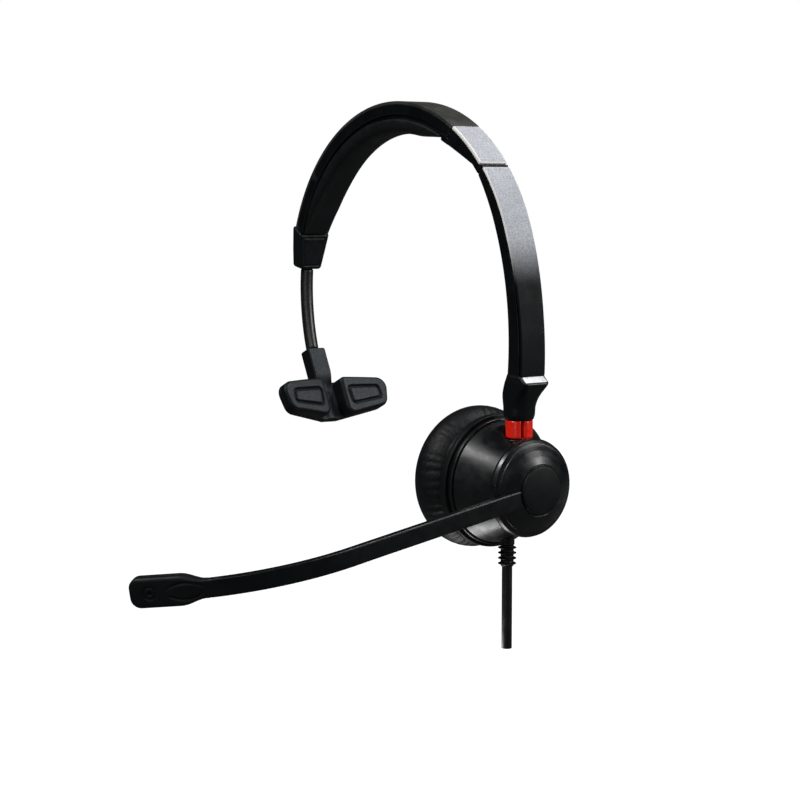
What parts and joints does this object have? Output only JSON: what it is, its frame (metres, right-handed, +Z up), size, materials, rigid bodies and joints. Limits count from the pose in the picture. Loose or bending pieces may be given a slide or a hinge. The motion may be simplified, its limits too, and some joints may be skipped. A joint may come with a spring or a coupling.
{
  "type": "office headset",
  "caption": "One-ear office headset: slim arched band with a slider arm, cushioned ear cup, turning boom microphone, T-shaped temple rest and a short length of cable.",
  "frame": {"origin": "centre of the face of the ear cushion that rests on the ear", "axes": "+X outward through the ear cup, away from the head; -Y forward along the boom; +Z up"},
  "size_m": [0.1634, 0.1813, 0.2104],
  "materials": {
    "black": "satin black moulding",
    "dark": "fine-grained black",
    "strip": "grained dark warm grey",
    "silver": "fine brushed, light blue grey",
    "fade": "silver at the top fading to black",
    "lip": "polished",
    "red": "glossy red",
    "steel": "plain",
    "spring": "spring steel",
    "rod": "black-coated steel",
    "pad": "soft black",
    "leatherette": "black leatherette with fine pleats",
    "cloth": "black acoustic cloth",
    "rest": "dark grey, fine grain",
    "rubber": "black",
    "jacket": "black cable jacket",
    "copper": "copper coloured",
    "bush": "natural white plastic",
    "magnet": "plated",
    "film": "thin film",
    "board": "green board"
  },
  "bodies": {
    "headband": {"band_shell": "black", "band_top_cover": "strip", "band_spring": "spring", "spring_rivets": "steel", "head_pad": "pad", "pad_carrier": "black", "slider_sleeve": "black", "sleeve_trim_plate": "silver", "sleeve_screws": "steel", "detent_spring": "spring", "temple_clip": "black", "rod_bush": "bush", "clip_screws": "steel"},
    "arm": {"arm_tongue": "steel", "tongue_rivets": "steel", "arm_body": "black", "arm_trim_plate": "fade", "trim_lip": "lip", "swivel_pin": "steel", "pin_retainer": "spring"},
    "ear_cup": {"collar_front_half": "red", "collar_rear_half": "red", "cup_housing": "black", "housing_ring": "black", "baffle_plate": "dark", "cushion_ring": "black", "ear_cushion": "leatherette", "speaker_cloth": "cloth", "speaker_frame": "magnet", "speaker_magnet": "magnet", "speaker_diaphragm": "film", "circuit_board": "board", "cup_screws": "steel", "strain_relief": "rubber", "cable": "jacket", "cable_wires": "copper", "hub_axle": "steel", "hub_washer": "spring", "axle_nut": "steel"},
    "boom": {"hub_dome": "black", "hub_cap": "dark", "boom_rear": "black", "boom_root_screws": "steel", "boom_wire_rear": "copper"},
    "boom_tip": {"boom_front": "black", "boom_wire_front": "copper", "mic_shell_outer": "dark", "mic_shell_inner": "dark", "mic_element": "magnet", "mic_gasket": "rubber", "mic_screw": "steel"},
    "temple_rod": {"temple_rod": "rod", "rod_stop": "steel"},
    "temple_rest": {"rest_body": "dark", "rest_pad_front": "rest", "rest_pad_rear": "rest", "rest_retainer": "spring"}
  },
  "joints": [
    {"name": "arm_extend", "type": "hinge", "parent": "headband", "child": "arm", "pos_m": [-0.06216, 0, 0.03111], "axis": [0, 1, 0], "range_deg": [0, 9.8]},
    {"name": "cup_swivel", "type": "hinge", "parent": "arm", "child": "ear_cup", "pos_m": [0.0354, 0, 0], "axis": [0, 0, 1], "range_deg": [-20, 20]},
    {"name": "boom_rotate", "type": "hinge", "parent": "ear_cup", "child": "boom", "pos_m": [0, 0, 0], "axis": [0.9996, 0, -0.0279], "range_deg": [-75, 230]},
    {"name": "boom_flex", "type": "hinge", "parent": "boom", "child": "boom_tip", "pos_m": [0.04653, -0.08449, -0.01742], "axis": [-0.0275, 0.1736, -0.9844], "range_deg": [-25, 25]},
    {"name": "rod_extend", "type": "hinge", "parent": "headband", "child": "temple_rod", "pos_m": [-0.03675, 0, 0.0693], "axis": [0, -1, 0], "range_deg": [0, 12]},
    {"name": "temple_swivel", "type": "hinge", "parent": "temple_rod", "child": "temple_rest", "pos_m": [-0.10567, 0, 0.04167], "axis": [0.4409, 0, -0.8976], "range_deg": [-20, 20]}
  ]
}
